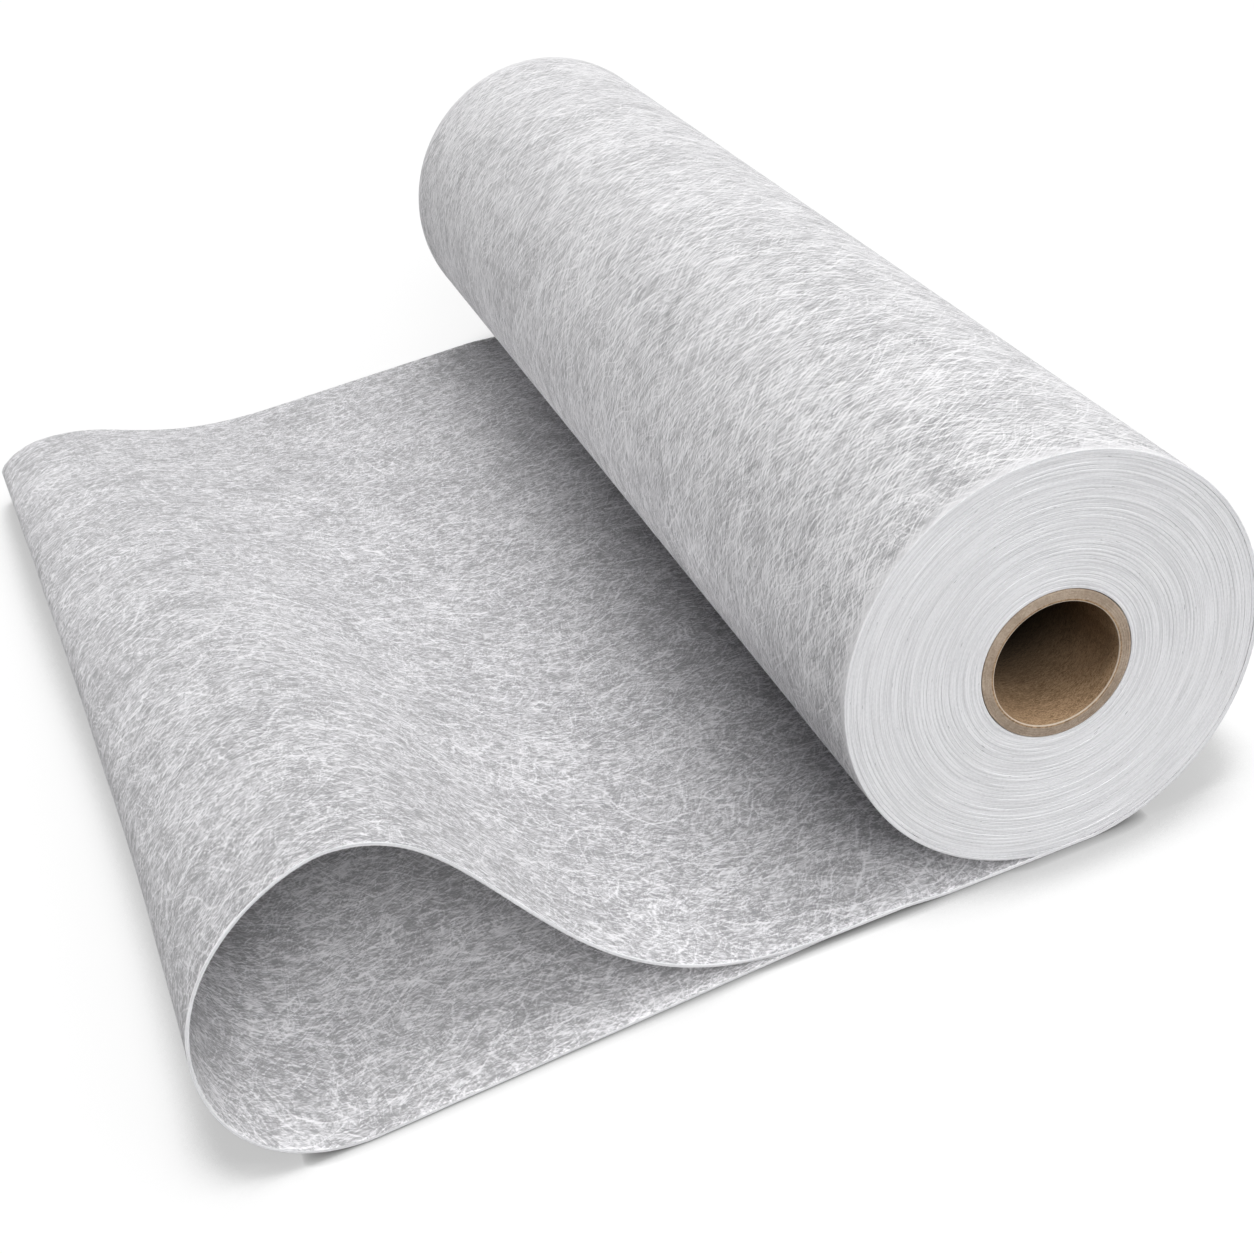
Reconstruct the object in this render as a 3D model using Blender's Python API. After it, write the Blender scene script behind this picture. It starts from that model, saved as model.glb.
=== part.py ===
"""Roll of fleece-faced waterproof membrane on a spiral-wound paper core.

The web is wound on the core, leaves the roll along the floor, rises in a wave and folds
back under itself. +Y runs along the core's axis, the free end of the web lies towards -X,
and the origin is the point of the floor under the middle of the roll. Metres.
"""
import math

import bmesh
import bpy
import numpy as np

# The roll and its seats
ROLL_WIDTH = 1.000
ROLL_RADIUS = 0.1285
REST_FLAT_DEPTH = 0.0005
SEAT_GAP = 0.0003
TURNING_GAP = 0.0004

# The three bonded plies of the web
FLEECE_THICKNESS = 0.00055
FILM_THICKNESS = 0.0005

# The paper core, plies from the bore outwards
CORE_BORE_RADIUS = 0.0390
CORE_PLY_THICKNESS = 0.00114
CORE_STRIP_PITCH = 0.181
CORE_SEAM_GAP = 0.0008
CORE_STRIP_TIP = 0.004
CORE_PLIES = ["core_liner", "core_ply_2", "core_ply_3", "core_ply_4", "core_wrap"]
CORE_SEAM_STAGGER_SHARE = 0.38

# The double-sided tape under the start of the web
TAPE_THICKNESS = 0.0003
TAPE_WIDTH = 0.035
TAPE_INSET = 0.004
TAPE_SEGMENTS = 4

# The wound web
WOUND_TURNS = 24
TURN_SEGMENTS = 24
WOUND_GAP = 0.0005
LEAST_SELF_GAP = 0.0004
LAST_STEP_SEGMENTS = 2

# The free end of the web: its last turn, the run on the floor and the fold
OUTER_TURN_SEGMENTS = 46
LEAD_STATIONS = 42
LEAD_STRIPS = 4
LEAD_CURVE_WEIGHT = 0.060
TAIL_FROM_AXIS = 0.140
LEAST_STATION_SHARE = 0.004
CLIMB_RUN = 0.035
CLIMB_CLEARANCE = 0.002
SKEW_AT_TOUCH = 0.013
SKEW_AT_TAIL = -0.004

# The fold at the near end of the roll: distances from the axis, heights of its outside, and
# how far its crest and its touch on the floor lie back from its reach
NEAR_RISE_FROM_AXIS = 0.1612
NEAR_REACH = 0.5147
NEAR_REACH_HEIGHT = 0.0753
NEAR_CREST_SETBACK = 0.1009
NEAR_CREST_HEIGHT = 0.1809
NEAR_TOUCH_SETBACK = 0.0749
NEAR_HANDLE_SHARES = (0.68, 0.38, 0.27, 0.70, 0.53, 0.69)

# The fold at the far end, which lies lower and further out
FAR_RISE_FROM_AXIS = 0.3200
FAR_REACH_BEYOND_NEAR = 0.0638
FAR_REACH_HEIGHT = 0.0270
FAR_CREST_SETBACK = 0.0423
FAR_CREST_HEIGHT = 0.0479
FAR_TOUCH_SETBACK = 0.0339
FAR_HANDLE_SHARES = (0.58, 0.33, 0.40, 0.50, 0.50, 0.50)

# Worked out from the sizes above
WEB_THICKNESS = 2 * FLEECE_THICKNESS + FILM_THICKNESS + 2 * SEAT_GAP
AXIS_HEIGHT = ROLL_RADIUS - REST_FLAT_DEPTH
HALF_WIDTH = ROLL_WIDTH / 2
CORE_OUTER_RADIUS = (
    CORE_BORE_RADIUS + len(CORE_PLIES) * CORE_PLY_THICKNESS + (len(CORE_PLIES) - 1) * SEAT_GAP
)
FACET_HALF_ANGLE = math.pi / TURN_SEGMENTS
PACK_RADIUS = AXIS_HEIGHT - WEB_THICKNESS - TURNING_GAP

# Points along each stretch of a fold's outline, and shares of its whole length that are tried
OUTLINE_POINTS = 80
TRIED_SHARES = 320

# Faces that meet at less than this are shaded as one
SMOOTH_ANGLE = math.radians(30)

COLOURS = {
    "core_liner": (0.33, 0.22, 0.14),
    "core_ply_2": (0.40, 0.29, 0.20),
    "core_ply_3": (0.42, 0.31, 0.21),
    "core_ply_4": (0.40, 0.29, 0.20),
    "core_wrap": (0.44, 0.33, 0.23),
    "start_tape": (0.80, 0.78, 0.70),
    "wound_web": (0.72, 0.72, 0.71),
    "outer_fleece": (0.70, 0.70, 0.70),
    "waterproof_film": (0.82, 0.82, 0.83),
    "inner_fleece": (0.62, 0.62, 0.62),
}
ROUGHNESS = {"waterproof_film": 0.45, "start_tape": 0.5}
PLAIN_ROUGHNESS = 0.9


def clear_scene():
    """Remove what the file held before."""
    for thing in list(bpy.data.objects):
        bpy.data.objects.remove(thing, do_unlink=True)
    for group in list(bpy.data.collections):
        bpy.data.collections.remove(group)


def material(name):
    """A Principled material in the piece's colour."""
    made = bpy.data.materials.new(name)
    made.use_nodes = True
    shader = made.node_tree.nodes["Principled BSDF"]
    shader.inputs["Base Color"].default_value = (*COLOURS[name], 1.0)
    shader.inputs["Roughness"].default_value = ROUGHNESS.get(name, PLAIN_ROUGHNESS)
    shader.inputs["Metallic"].default_value = 0.0
    return made


def fill_between(bm, low, high):
    """Faces between two rows of vertices: one face where the rows have unlike counts."""
    if len(low) != len(high):
        bm.faces.new(low + high[::-1])
    elif len(low) == 2:
        bm.faces.new((low[0], low[1], high[1], high[0]))
    else:
        for k in range(len(low) - 1):
            bm.faces.new((low[k], low[k + 1], high[k + 1]))
            bm.faces.new((low[k], high[k + 1], high[k]))


def loft(name, stations, carrier, group):
    """A closed strip through stations, each a pair of rows: its outer and its inner skin.

    The rows run from the near end of the roll to the far end. The points are in the
    carrier's frame, whose origin lies on the joint's axis.
    """
    bm = bmesh.new()
    rows = [
        [[bm.verts.new(point) for point in row] for row in station]
        for station in stations
    ]
    for (outer_a, inner_a), (outer_b, inner_b) in zip(rows, rows[1:]):
        fill_between(bm, outer_a, outer_b)
        fill_between(bm, inner_a, inner_b)
        bm.faces.new((outer_a[0], outer_b[0], inner_b[0], inner_a[0]))
        bm.faces.new((outer_b[-1], outer_a[-1], inner_a[-1], inner_b[-1]))
    for outer, inner in (rows[0], rows[-1]):
        bm.faces.new(outer + inner[::-1])
    bmesh.ops.recalc_face_normals(bm, faces=bm.faces)
    mesh = bpy.data.meshes.new(name)
    bm.to_mesh(mesh)
    bm.free()
    mesh.shade_smooth()
    mesh.set_sharp_from_angle(angle=SMOOTH_ANGLE)
    mesh.materials.append(material(name))
    piece = bpy.data.objects.new(name, mesh)
    piece.parent = carrier
    group.objects.link(piece)
    return piece


def around(radius, angle):
    """The point of a circle about the core's axis; angles run from the bottom towards +X."""
    return radius * math.sin(angle), -radius * math.cos(angle)


def ring_station(inner_radius, outer_radius, angle, near, far):
    """Two rows along the roll, at one angle about the core's axis."""
    station = []
    for radius in (outer_radius, inner_radius):
        x, z = around(radius, angle)
        station.append([(x, near, z), (x, far, z)])
    return station


def core_ply(name, layer, carrier, group):
    """One paper strip wound as a helix, cut square at both ends of the core."""
    inner = CORE_BORE_RADIUS + layer * (CORE_PLY_THICKNESS + SEAT_GAP)
    outer = inner + CORE_PLY_THICKNESS
    step = CORE_STRIP_PITCH / TURN_SEGMENTS
    shift = -CORE_STRIP_PITCH * (1 + (layer * CORE_SEAM_STAGGER_SHARE) % 1)
    count = math.ceil((ROLL_WIDTH + 2 * CORE_STRIP_PITCH) / step)
    stations = []
    for k in range(count):
        low = -HALF_WIDTH + shift + k * step
        high = low + CORE_STRIP_PITCH - CORE_SEAM_GAP
        near, far = max(low, -HALF_WIDTH), min(high, HALF_WIDTH)
        if far - near >= CORE_STRIP_TIP:
            angle = k * 2 * FACET_HALF_ANGLE
            stations.append(ring_station(inner, outer, angle, near, far))
    return loft(name, stations, carrier, group)


def wound_radii():
    """The wound web's thickness, its first bore and its outer radius at each step."""
    tape_outer = CORE_OUTER_RADIUS + SEAT_GAP + TAPE_THICKNESS
    start = tape_outer + SEAT_GAP
    pitch = (PACK_RADIUS - start + WOUND_GAP) / (WOUND_TURNS + 1)
    thickness = pitch - WOUND_GAP
    steps = TURN_SEGMENTS * WOUND_TURNS
    last_turn = steps - TURN_SEGMENTS
    radii = []
    for k in range(steps + 1):
        spiral = start + thickness + pitch * k / TURN_SEGMENTS
        climb = min(max((k - last_turn) / LAST_STEP_SEGMENTS, 0.0), 1.0)
        settled = start + thickness + pitch * (WOUND_TURNS - 1 + climb)
        radii.append(spiral if k <= last_turn else settled)
    return thickness, radii


def least_self_gap(thickness, radii):
    """The least distance between one turn's outside and the next turn's inside."""
    angles = 2 * FACET_HALF_ANGLE * np.arange(len(radii))
    outside = np.array([around(r, a) for r, a in zip(radii, angles)])
    inside = np.array([around(r - thickness, a) for r, a in zip(radii, angles)])
    least = math.inf
    for k in range(len(radii) - TURN_SEGMENTS):
        for j in (k + TURN_SEGMENTS - 1, k + TURN_SEGMENTS):
            if j + 1 < len(radii):
                start, run = inside[j], inside[j + 1] - inside[j]
                share = np.clip((outside[k] - start) @ run / (run @ run), 0.0, 1.0)
                least = min(least, float(np.linalg.norm(outside[k] - start - share * run)))
    return least


def wound_web(carrier, group):
    """The web on the core, one unbroken strip whose last turn keeps one radius."""
    thickness, radii = wound_radii()
    last = len(radii) - 1
    stations = [
        ring_station(r - thickness, r, 2 * FACET_HALF_ANGLE * (last - k), -HALF_WIDTH, HALF_WIDTH)
        for k, r in enumerate(radii)
    ]
    gap = least_self_gap(thickness, radii)
    note = "more" if gap > LEAST_SELF_GAP else "NOT more"
    print(f"wound_web: least gap to itself {gap * 1000:.3f} mm, {note} than "
          f"{LEAST_SELF_GAP * 1000:.1f} mm, over {WOUND_TURNS} turns")
    return loft("wound_web", stations, carrier, group)


def start_tape(carrier, group):
    """The tape between the core and the first stretch of the web."""
    inner = CORE_OUTER_RADIUS + SEAT_GAP
    outer = inner + TAPE_THICKNESS
    span = TAPE_WIDTH / outer
    near, far = -HALF_WIDTH + TAPE_INSET, HALF_WIDTH - TAPE_INSET
    stations = [
        ring_station(inner, outer, -span * k / TAPE_SEGMENTS, near, far)
        for k in range(TAPE_SEGMENTS + 1)
    ]
    return loft("start_tape", stations, carrier, group)


def bezier(points, count):
    """Points along one cubic stretch."""
    a, b, c, d = (np.array(p) for p in points)
    u = np.linspace(0.0, 1.0, count)[:, None]
    return (1 - u) ** 3 * a + 3 * u * (1 - u) ** 2 * b + 3 * u * u * (1 - u) * c + u ** 3 * d


class Edge:
    """One end of the fold: its outline through the middle of the web, seen along +Y."""

    def __init__(self, rise, reach, crest_setback, touch_setback, heights, shares):
        half = WEB_THICKNESS / 2
        reach_height, crest_height = heights
        self.rise = -rise
        self.crest = (crest_setback - reach, crest_height - half)
        self.reach = (half - reach, reach_height)
        self.touch = (touch_setback - reach, half)
        self.shares = shares
        self.upper = half + WEB_THICKNESS + SEAT_GAP

    def fold(self):
        """From the start of the rise, over the crest and round to the floor."""
        a, b, c, d, e, f = self.shares
        rise, crest, reach, touch = (self.rise, self.upper), self.crest, self.reach, self.touch
        up = bezier((rise, (rise[0] + a * (crest[0] - rise[0]), rise[1]),
                     (crest[0] - b * (crest[0] - rise[0]), crest[1]), crest), OUTLINE_POINTS)
        over = bezier((crest, (crest[0] + c * (reach[0] - crest[0]), crest[1]),
                       (reach[0], reach[1] - d * (reach[1] - crest[1])), reach), OUTLINE_POINTS)
        under = bezier((reach, (reach[0], reach[1] + e * (touch[1] - reach[1])),
                        (touch[0] - f * (touch[0] - reach[0]), touch[1]), touch), OUTLINE_POINTS)
        return np.vstack([up, over[1:], under[1:]])

    def fold_length(self):
        """The length of web in the fold."""
        return float(np.linalg.norm(np.diff(self.fold(), axis=0), axis=1).sum())


def edges_of_fold():
    """The near and the far end of the fold, and the web's ends under it."""
    near = Edge(NEAR_RISE_FROM_AXIS, NEAR_REACH, NEAR_CREST_SETBACK, NEAR_TOUCH_SETBACK,
                (NEAR_REACH_HEIGHT, NEAR_CREST_HEIGHT), NEAR_HANDLE_SHARES)
    far = Edge(FAR_RISE_FROM_AXIS, NEAR_REACH + FAR_REACH_BEYOND_NEAR, FAR_CREST_SETBACK,
               FAR_TOUCH_SETBACK, (FAR_REACH_HEIGHT, FAR_CREST_HEIGHT), FAR_HANDLE_SHARES)
    near_length = abs(near.rise) + near.fold_length()
    far_length = abs(far.rise) + far.fold_length()
    near.end = -TAIL_FROM_AXIS
    far.end = near.end - (far_length - near_length) + (far.touch[0] - near.touch[0])
    return near, far


def outline(edge, start, climb_end):
    """The whole middle line of one end, from the roll's rest to the end of the tail."""
    half = WEB_THICKNESS / 2
    share = np.linspace(0.0, 1.0, OUTLINE_POINTS)
    climb = np.stack([climb_end + CLIMB_RUN * (1 - share),
                      half + (edge.upper - half) * (1 - np.cos(math.pi * share)) / 2], axis=1)
    floor = np.linspace((start, half), climb[0], OUTLINE_POINTS)
    over = np.linspace(climb[-1], (edge.rise, edge.upper), OUTLINE_POINTS)
    back = np.linspace(edge.touch, (edge.end, half), OUTLINE_POINTS)
    return np.vstack([floor, climb[1:], over[1:], edge.fold()[1:], back[1:]])


def lengths_along(points):
    """The distance along a line of points, at each of them."""
    steps = np.linalg.norm(np.diff(points, axis=0), axis=1)
    return np.concatenate([[0.0], np.cumsum(steps)])


def normals_along(points):
    """Unit normals in the outline's plane, towards the web's inner face."""
    run = np.gradient(points, axis=0)
    run /= np.linalg.norm(run, axis=1)[:, None]
    return np.stack([run[:, 1], -run[:, 0]], axis=1)


def sampled(points, values, where):
    """Values along a line of points, read at the given shares of its length."""
    along = lengths_along(points)
    along /= along[-1]
    return np.stack([np.interp(where, along, values[:, k]) for k in range(2)], axis=1)


def station_shares(outlines):
    """Shares of the web's length, closer together where either end bends."""
    even = np.linspace(0.0, 1.0, TRIED_SHARES)
    measure = np.ones(len(even) - 1) * np.mean([lengths_along(o)[-1] for o in outlines])
    measure /= len(even) - 1
    for line in outlines:
        normal = sampled(line, normals_along(line), even)
        measure += LEAD_CURVE_WEIGHT * np.linalg.norm(np.diff(normal, axis=0), axis=1)
    total = np.concatenate([[0.0], np.cumsum(measure)])
    spaced = np.interp(np.linspace(0.0, total[-1], LEAD_STATIONS), total, even)
    along = lengths_along(outlines[0]) / lengths_along(outlines[0])[-1]
    climb = along[[OUTLINE_POINTS - 1, 2 * OUTLINE_POINTS - 2]]
    kept = [share for share in spaced if np.abs(climb - share).min() > LEAST_STATION_SHARE]
    return np.sort(np.concatenate([kept, climb]))


def skew_along(shares, near, line):
    """How far the web lies towards the near end: none before the crest, most at the floor."""
    length = lengths_along(line)[-1]
    crest = lengths_along(line)[int(np.argmax(line[:, 1]))] / length
    touch = 1 - (near.end - near.touch[0]) / length
    return np.interp(shares, (0.0, crest, touch, 1.0), (0.0, 0.0, SKEW_AT_TOUCH, SKEW_AT_TAIL))


def lead_middle():
    """Middle points and normals of the free web: the last turn, then the run and the fold."""
    middle = ROLL_RADIUS - WEB_THICKNESS / 2
    crease = math.acos((AXIS_HEIGHT - WEB_THICKNESS - SEAT_GAP) / ROLL_RADIUS)
    flat = math.acos((AXIS_HEIGHT - WEB_THICKNESS / 2) / middle)
    turn = []
    for angle in np.linspace(-crease, flat - 2 * math.pi, OUTER_TURN_SEGMENTS + 1)[:-1]:
        x, z = around(middle, angle)
        points = [(x, -HALF_WIDTH, z + AXIS_HEIGHT), (x, HALF_WIDTH, z + AXIS_HEIGHT)]
        normal = (-math.sin(angle), 0.0, math.cos(angle))
        turn.append((np.array(points), np.array([normal, normal])))

    near, far = edges_of_fold()
    climb_end = max(near.end, far.end) + CLIMB_CLEARANCE
    outlines = [outline(edge, middle * math.sin(flat), climb_end) for edge in (near, far)]
    shares = station_shares(outlines)
    skew = skew_along(shares, near, outlines[0])
    ends = [sampled(line, line, shares) for line in outlines]
    sides = [sampled(line, normals_along(line), shares) for line in outlines]
    free = []
    for k in range(len(shares)):
        points, normals = [], []
        for strip in range(LEAD_STRIPS + 1):
            share = strip / LEAD_STRIPS
            x, z = (1 - share) * ends[0][k] + share * ends[1][k]
            side = (1 - share) * sides[0][k] + share * sides[1][k]
            side /= np.linalg.norm(side)
            points.append((x, (share - 1 / 2) * ROLL_WIDTH - skew[k], z))
            normals.append((side[0], 0.0, side[1]))
        free.append((np.array(points), np.array(normals)))
    return turn + free


def lead(carrier, group):
    """The three plies of the free web, at their own depths about its middle."""
    middle = lead_middle()
    skin = WEB_THICKNESS / 2 - FLEECE_THICKNESS
    depths = {
        "outer_fleece": (-WEB_THICKNESS / 2, -skin),
        "waterproof_film": (-FILM_THICKNESS / 2, FILM_THICKNESS / 2),
        "inner_fleece": (skin, WEB_THICKNESS / 2),
    }
    for name, sides in depths.items():
        stations = [
            [[tuple(row) for row in points + normals * depth] for depth in sides]
            for points, normals in middle
        ]
        loft(name, stations, carrier, group)


def build():
    """Make the roll body, which turns about the core's axis, and the free web."""
    clear_scene()
    group = bpy.data.collections.new("waterproof_membrane_roll")
    bpy.context.scene.collection.children.link(group)
    axis = bpy.data.objects.new("roll_axis", None)
    axis.location = (0.0, 0.0, AXIS_HEIGHT)
    group.objects.link(axis)
    floor = bpy.data.objects.new("floor_rest", None)
    group.objects.link(floor)
    for layer, name in enumerate(CORE_PLIES):
        core_ply(name, layer, axis, group)
    start_tape(axis, group)
    wound_web(axis, group)
    lead(floor, group)
    bpy.context.view_layer.update()


build()
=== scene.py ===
"""Dress for a roll of fleece-faced waterproof membrane on a spiral-wound paper core.

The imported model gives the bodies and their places. The wound web, the free web and the plies of
the core are made again here in full detail, and every piece gets a procedural finish. Metres,
+Y along the core's axis from the near end, +Z up, the free end of the web towards -X.
"""

import logging
import math
from dataclasses import astuple, dataclass
from enum import Enum

import bmesh
import bpy
import numpy as np
from mathutils import Matrix, Vector, noise


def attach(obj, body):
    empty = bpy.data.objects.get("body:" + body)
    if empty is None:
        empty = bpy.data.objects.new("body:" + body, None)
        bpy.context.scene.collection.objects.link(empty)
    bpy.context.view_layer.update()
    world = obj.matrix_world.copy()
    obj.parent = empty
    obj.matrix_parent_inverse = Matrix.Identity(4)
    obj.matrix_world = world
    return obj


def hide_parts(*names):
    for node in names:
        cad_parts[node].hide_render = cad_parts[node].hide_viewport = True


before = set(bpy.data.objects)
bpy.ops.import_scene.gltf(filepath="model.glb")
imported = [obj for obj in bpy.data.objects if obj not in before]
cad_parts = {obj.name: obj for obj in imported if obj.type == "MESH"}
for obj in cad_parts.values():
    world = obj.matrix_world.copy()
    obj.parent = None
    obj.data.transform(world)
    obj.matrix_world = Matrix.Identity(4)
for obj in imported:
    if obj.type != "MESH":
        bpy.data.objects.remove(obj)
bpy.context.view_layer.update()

LOG = logging.getLogger("membrane_roll")
PHOTO_PIXELS = 1254
SHARP_FROM = math.radians(50)
Socket = bpy.types.NodeSocket
Colour = tuple[float, float, float]


class Face(Enum):
    """The two faces of the web: the outer one looks away from the core on the roll."""

    OUTER = -1
    INNER = 1


@dataclass(frozen=True)
class WebSizes:
    """The laminate and the roll that it is wound into."""

    width: float = 1.000
    roll_radius: float = 0.1285
    axis_height: float = 0.128
    fleece: float = 0.00055
    film: float = 0.0005
    bond: float = 0.0003
    visible_bond: float = 0.00003

    @property
    def thickness(self) -> float:
        """The web's whole thickness."""
        return 2 * self.fleece + self.film + 2 * self.bond

    @property
    def middle_radius(self) -> float:
        """The radius of the web's middle on its last turn."""
        return self.roll_radius - self.thickness / 2


WEB = WebSizes()


def rolled(radius: np.ndarray, angle: np.ndarray) -> tuple[np.ndarray, np.ndarray]:
    """Points about the core's axis.

    Args:
        radius: distances from the axis.
        angle: angles from the bottom towards +X.

    Returns:
        Their x and z in the world.
    """
    return radius * np.sin(angle), WEB.axis_height - radius * np.cos(angle)


def smooth_noise(points: np.ndarray, seed: float) -> np.ndarray:
    """Smooth noise between about -1 and 1.

    Args:
        points: an array of points, already divided by the wavelength.
        seed: shifts the pattern.

    Returns:
        One value for each point.
    """
    flat = points.reshape(-1, points.shape[-1])
    values = [noise.noise(Vector((p[0] + seed, p[1] - seed, seed))) for p in flat]
    return np.array(values).reshape(points.shape[:-1])


def turn_outwards(piece: bpy.types.Object) -> None:
    """Point every face of a closed mesh outwards.

    Args:
        piece: the mesh object.
    """
    bm = bmesh.new()
    bm.from_mesh(piece.data)
    bmesh.ops.recalc_face_normals(bm, faces=bm.faces)
    bm.to_mesh(piece.data)
    bm.free()


def tube_faces(stations: int, around: int) -> np.ndarray:
    """Faces of a closed tube of stations.

    Args:
        stations: how many rings the tube has.
        around: how many points each ring has, an even number.

    Returns:
        Four vertex numbers for each face: ring after ring, then the two ends.
    """
    k, j = np.meshgrid(np.arange(stations - 1), np.arange(around), indexing="ij")
    after = (j + 1) % around
    sides = np.stack([k * around + j, k * around + after,
                      (k + 1) * around + after, (k + 1) * around + j], axis=-1)
    base, j = np.meshgrid((0, (stations - 1) * around), np.arange(around // 2 - 1), indexing="ij")
    ends = np.stack([base + j, base + j + 1, base + around - 2 - j, base + around - 1 - j],
                    axis=-1)
    return np.vstack([sides.reshape(-1, 4), ends.reshape(-1, 4)])


def mesh_piece(name: str, rings: np.ndarray, skin_uvs: np.ndarray, edge_uvs: np.ndarray,
               slots: np.ndarray, finishes: list) -> bpy.types.Object:
    """Make a mesh object of a closed tube of stations.

    Args:
        name: the piece's name.
        rings: its vertices, for each station and each place round it.
        skin_uvs: metres along and across the web for each vertex.
        edge_uvs: metres along the web and through its thickness for each vertex.
        slots: the material slot of each side face, 1 on a cut edge and any other on a skin.
        finishes: the materials, in slot order.

    Returns:
        The new object, shaded smooth.
    """
    faces = tube_faces(*rings.shape[:2])
    slots = np.concatenate([slots, np.ones(len(faces) - len(slots), int)])
    mesh = bpy.data.meshes.new(name)
    mesh.from_pydata(rings.reshape(-1, 3).tolist(), [], faces.tolist())
    layer = mesh.uv_layers.new(name="web")
    uvs = np.where(slots[:, None, None] == 1, edge_uvs.reshape(-1, 2)[faces],
                   skin_uvs.reshape(-1, 2)[faces])
    layer.data.foreach_set("uv", uvs.astype(np.float32).ravel())
    for finish in finishes:
        mesh.materials.append(finish)
    mesh.polygons.foreach_set("material_index", slots.astype(np.int32))
    piece = bpy.data.objects.new(name, mesh)
    bpy.context.scene.collection.objects.link(piece)
    turn_outwards(piece)
    mesh.shade_smooth()
    mesh.set_sharp_from_angle(angle=SHARP_FROM)
    return piece


class Shader:
    """A short way to lay out nodes in a material or a node group."""

    def __init__(self, tree: bpy.types.NodeTree) -> None:
        """Keep the tree that the nodes go into."""
        self.tree = tree

    def fill(self, node: bpy.types.Node, inputs: dict) -> None:
        """Set a node's inputs.

        Args:
            node: the node.
            inputs: values or other nodes' output sockets, by the input's name or number.
        """
        for key, value in inputs.items():
            if isinstance(value, Socket):
                self.tree.links.new(value, node.inputs[key])
            else:
                node.inputs[key].default_value = value

    def node(self, kind: str, inputs: dict | None = None, **settings: object) -> bpy.types.Node:
        """Add one node.

        Args:
            kind: its type, such as ShaderNodeMath.
            inputs: what its inputs get, as fill takes it.
            settings: its own settings.

        Returns:
            The new node.
        """
        made = self.tree.nodes.new(kind)
        for key, value in settings.items():
            setattr(made, key, value)
        self.fill(made, inputs or {})
        return made

    def math(self, operation: str, *values: object, clamp: bool = False) -> Socket:
        """Add a Math node and give its result."""
        inputs = dict(enumerate(values))
        return self.node("ShaderNodeMath", inputs, operation=operation, use_clamp=clamp).outputs[0]

    def vector(self, operation: str, *values: object) -> Socket:
        """Add a Vector Math node and give its vector, or its value for a length."""
        made = self.node("ShaderNodeVectorMath", dict(enumerate(values)), operation=operation)
        return made.outputs["Value" if operation == "LENGTH" else "Vector"]

    def join(self, x: object = 0.0, y: object = 0.0, z: object = 0.0) -> Socket:
        """Join three numbers into a vector."""
        return self.node("ShaderNodeCombineXYZ", {"X": x, "Y": y, "Z": z}).outputs[0]

    def part(self, vector: Socket, axis: str) -> Socket:
        """Give one part of a vector."""
        return self.node("ShaderNodeSeparateXYZ", {0: vector}).outputs[axis]

    def ramp(self, value: object, low: float, high: object, start: float = 0.0,
             end: float = 1.0) -> Socket:
        """Add a smooth Map Range from low and high to start and end."""
        return self.node("ShaderNodeMapRange",
                         {"Value": value, "From Min": low, "From Max": high, "To Min": start,
                          "To Max": end}, interpolation_type="SMOOTHSTEP").outputs["Result"]

    def noise(self, where: Socket, scale: float, detail: float = 2.0, rough: float = 0.5,
              twist: float = 0.0) -> Socket:
        """Add a Noise Texture at a place and scale."""
        return self.node("ShaderNodeTexNoise",
                         {"Vector": where, "Scale": scale, "Detail": detail, "Roughness": rough,
                          "Distortion": twist}).outputs["Fac"]

    def flat_noise(self, where: Socket, scale: float, detail: float = 0.0) -> Socket:
        """Add a Noise Texture that reads only the first two parts of a place."""
        return self.node("ShaderNodeTexNoise", {"Vector": where, "Scale": scale, "Detail": detail},
                         noise_dimensions="2D").outputs["Fac"]

    def streaks(self, where: Socket, along: float, across: float, detail: float = 2.0,
                rough: float = 0.5) -> Socket:
        """Add a Noise Texture with one scale along the web and another across it."""
        place = self.vector("MULTIPLY", where, (along, across, 1.0))
        return self.noise(place, 1.0, detail, rough)

    def mix(self, share: Socket, *colours: object) -> Socket:
        """Mix two colours, each a socket or three numbers."""
        first, second = ((*c, 1.0) if isinstance(c, tuple) else c for c in colours)
        return self.node("ShaderNodeMix", {0: share, 6: first, 7: second}, data_type="RGBA",
                         clamp_factor=True).outputs[2]


class Coat(Shader):
    """The nodes of one material round its Principled BSDF."""

    def __init__(self, name: str) -> None:
        """Make the material.

        Args:
            name: the material's name.
        """
        self.material = bpy.data.materials.new(name)
        self.material.use_nodes = True
        super().__init__(self.material.node_tree)

    def web_place(self) -> Socket:
        """Give the place on the web in metres, from the piece's UV map."""
        return self.node("ShaderNodeUVMap", uv_map="web").outputs["UV"]

    def object_place(self) -> Socket:
        """Give the place in the piece's own coordinates."""
        return self.node("ShaderNodeTexCoord").outputs["Object"]

    def bump(self, height: Socket, distance: float, strength: float) -> Socket:
        """Add a Bump node and give its normal."""
        return self.node("ShaderNodeBump", {"Height": height, "Distance": distance,
                                            "Strength": strength}).outputs[0]

    def finish(self, inputs: dict) -> bpy.types.Material:
        """Set the Principled BSDF's inputs and give the material."""
        self.fill(self.tree.nodes["Principled BSDF"], inputs)
        return self.material


LAYER_NUMBERS = ("Angle", "Per Metre", "Run", "Sway", "Width", "Bare", "Seed")


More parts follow.
